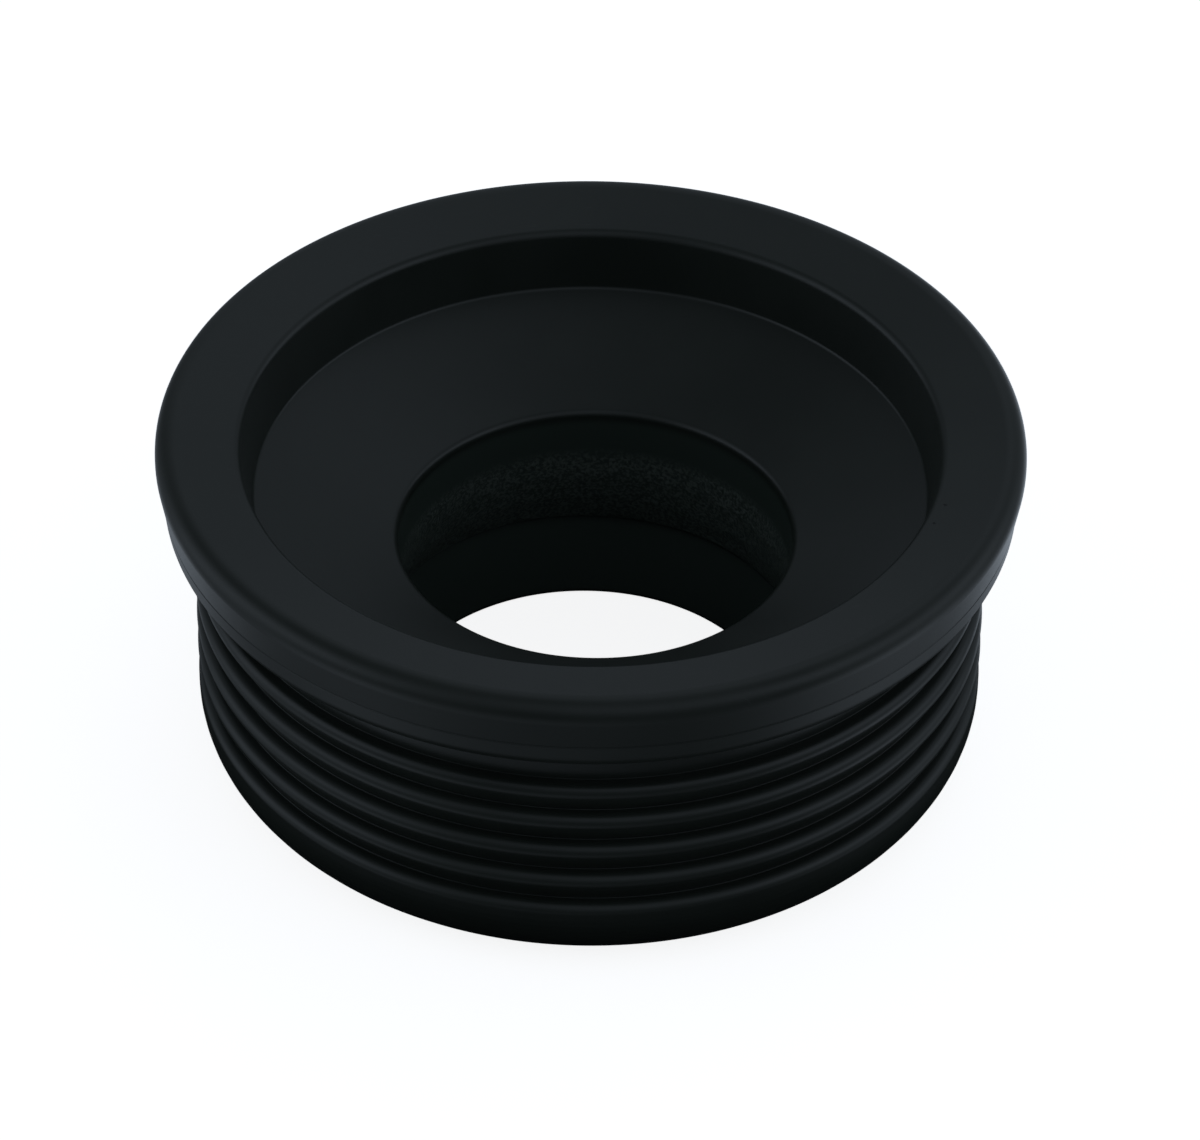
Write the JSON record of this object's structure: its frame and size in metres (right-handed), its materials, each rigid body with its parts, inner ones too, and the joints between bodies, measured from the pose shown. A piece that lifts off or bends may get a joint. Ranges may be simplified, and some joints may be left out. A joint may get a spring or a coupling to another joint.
{
  "type": "toilet flush pipe seal",
  "caption": "Round black rubber plug seal with a stop flange, a recessed funnel into a gripping bore, and saw-tooth sealing ribs round the outside.",
  "frame": {"origin": "centre of the flat lower face, at the end that goes into the toilet bowl's inlet", "axes": "+Z along the bore, from the lower face up to the flange, the way the flush pipe leaves; X and Y are equal by symmetry"},
  "size_m": [0.062, 0.062, 0.0265],
  "materials": {
    "black_rubber": "satin moulded rubber, with a fine spark-eroded grain on the wall of the bore"
  },
  "bodies": {
    "root": {"flush_pipe_seal": "black_rubber"}
  },
  "joints": []
}
